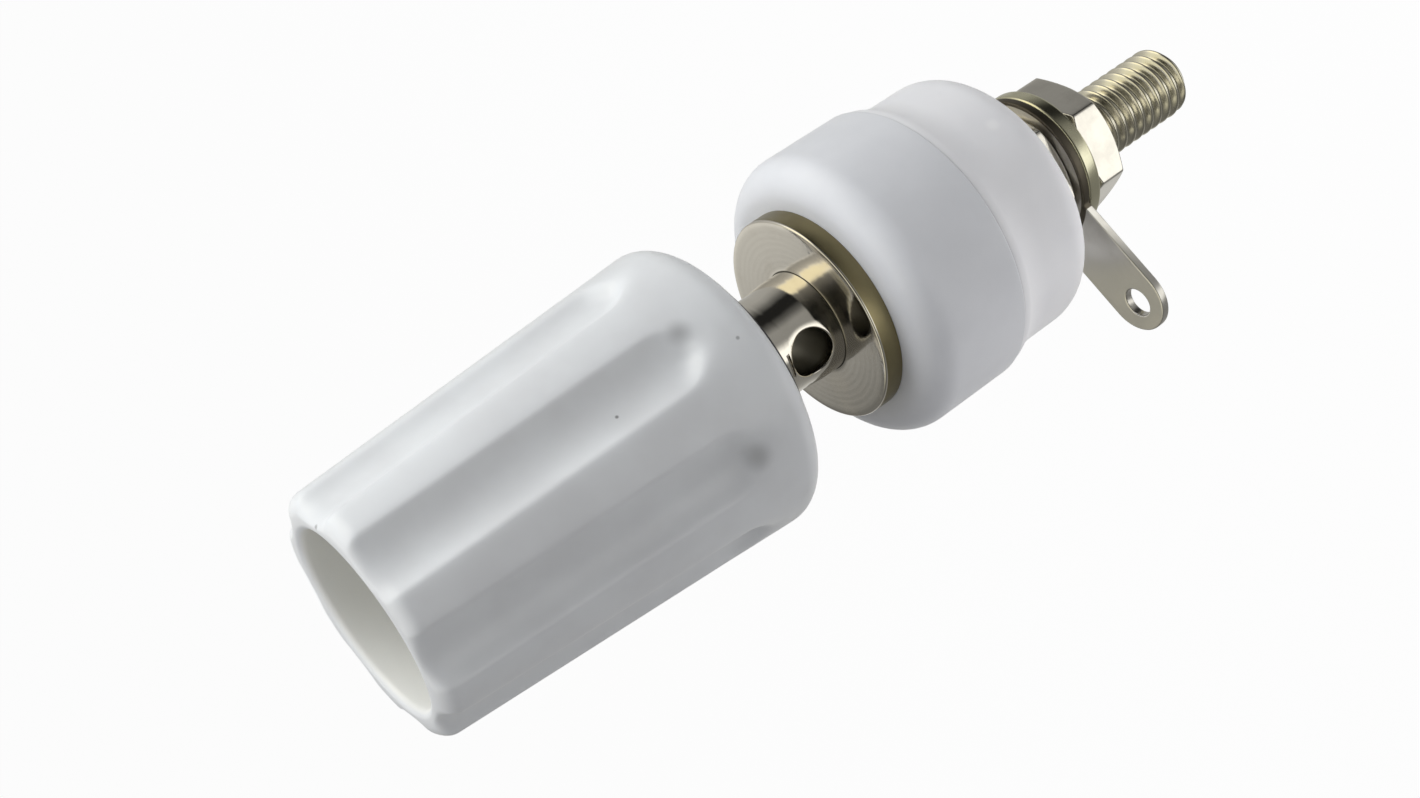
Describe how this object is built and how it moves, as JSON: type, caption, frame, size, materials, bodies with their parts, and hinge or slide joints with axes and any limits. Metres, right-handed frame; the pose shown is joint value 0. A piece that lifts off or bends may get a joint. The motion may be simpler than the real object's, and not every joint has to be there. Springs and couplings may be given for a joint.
{
  "type": "binding post",
  "caption": "Panel binding post with a fluted screw-down knob, a clamping flange, insulating bushes, a solder lug and a threaded stud.",
  "frame": {"origin": "on the post's axis, at the panel seat: the rear face of the front insulator", "axes": "+Z along the post towards the knob's mouth; Y along the wire hole; the stud points to -Z"},
  "size_m": [0.0161, 0.0159, 0.0537],
  "materials": {
    "knob_plastic": "white moulded plastic, semi-gloss",
    "front_plastic": "white moulded plastic, semi-gloss",
    "rear_plastic": "white moulded plastic, satin",
    "plated_brass": "nickel plated, turned",
    "tinned_sheet": "tin plated, stamped"
  },
  "bodies": {
    "post": {"terminal_post": "plated_brass", "front_insulator": "front_plastic"},
    "insert": {"knob_insert": "plated_brass"},
    "cap": {"knob_cap": "knob_plastic"},
    "rear_bush": {"rear_insulator": "rear_plastic"},
    "inner_nut": {"inner_nut": "plated_brass"},
    "lug": {"solder_lug": "tinned_sheet"},
    "washer": {"washer": "tinned_sheet"},
    "outer_nut": {"outer_nut": "plated_brass"}
  },
  "joints": [
    {"name": "knob_travel", "type": "slide", "parent": "post", "child": "insert", "axis": [0, 0, 1], "range_m": [-0.0051, 0.0033]},
    {"name": "knob_turn", "type": "hinge", "parent": "insert", "child": "cap", "pos_m": [0, 0, 0.02], "axis": [0, 0, 1], "range_deg": [-2449, 1585]},
    {"name": "rear_travel", "type": "slide", "parent": "post", "child": "rear_bush", "axis": [0, 0, -1], "range_m": [0, 0.006]},
    {"name": "inner_nut_turn", "type": "hinge", "parent": "rear_bush", "child": "inner_nut", "pos_m": [0, 0, -0.00715], "axis": [0, 0, -1], "range_deg": [0, 3087]},
    {"name": "lug_swivel", "type": "hinge", "parent": "rear_bush", "child": "lug", "pos_m": [0, 0, -0.00855], "axis": [0, 0, 1], "continuous": true},
    {"name": "washer_turn", "type": "hinge", "parent": "rear_bush", "child": "washer", "pos_m": [0, 0, -0.00925], "axis": [0, 0, 1], "continuous": true},
    {"name": "outer_nut_turn", "type": "hinge", "parent": "rear_bush", "child": "outer_nut", "pos_m": [0, 0, -0.01085], "axis": [0, 0, -1], "range_deg": [0, 3087]}
  ],
  "couplings": [
    {"joint": "knob_turn", "follows": "knob_travel", "rad_per_m": 8377.6},
    {"joint": "inner_nut_turn", "follows": "rear_travel", "rad_per_m": 8976},
    {"joint": "outer_nut_turn", "follows": "rear_travel", "rad_per_m": 8976}
  ]
}
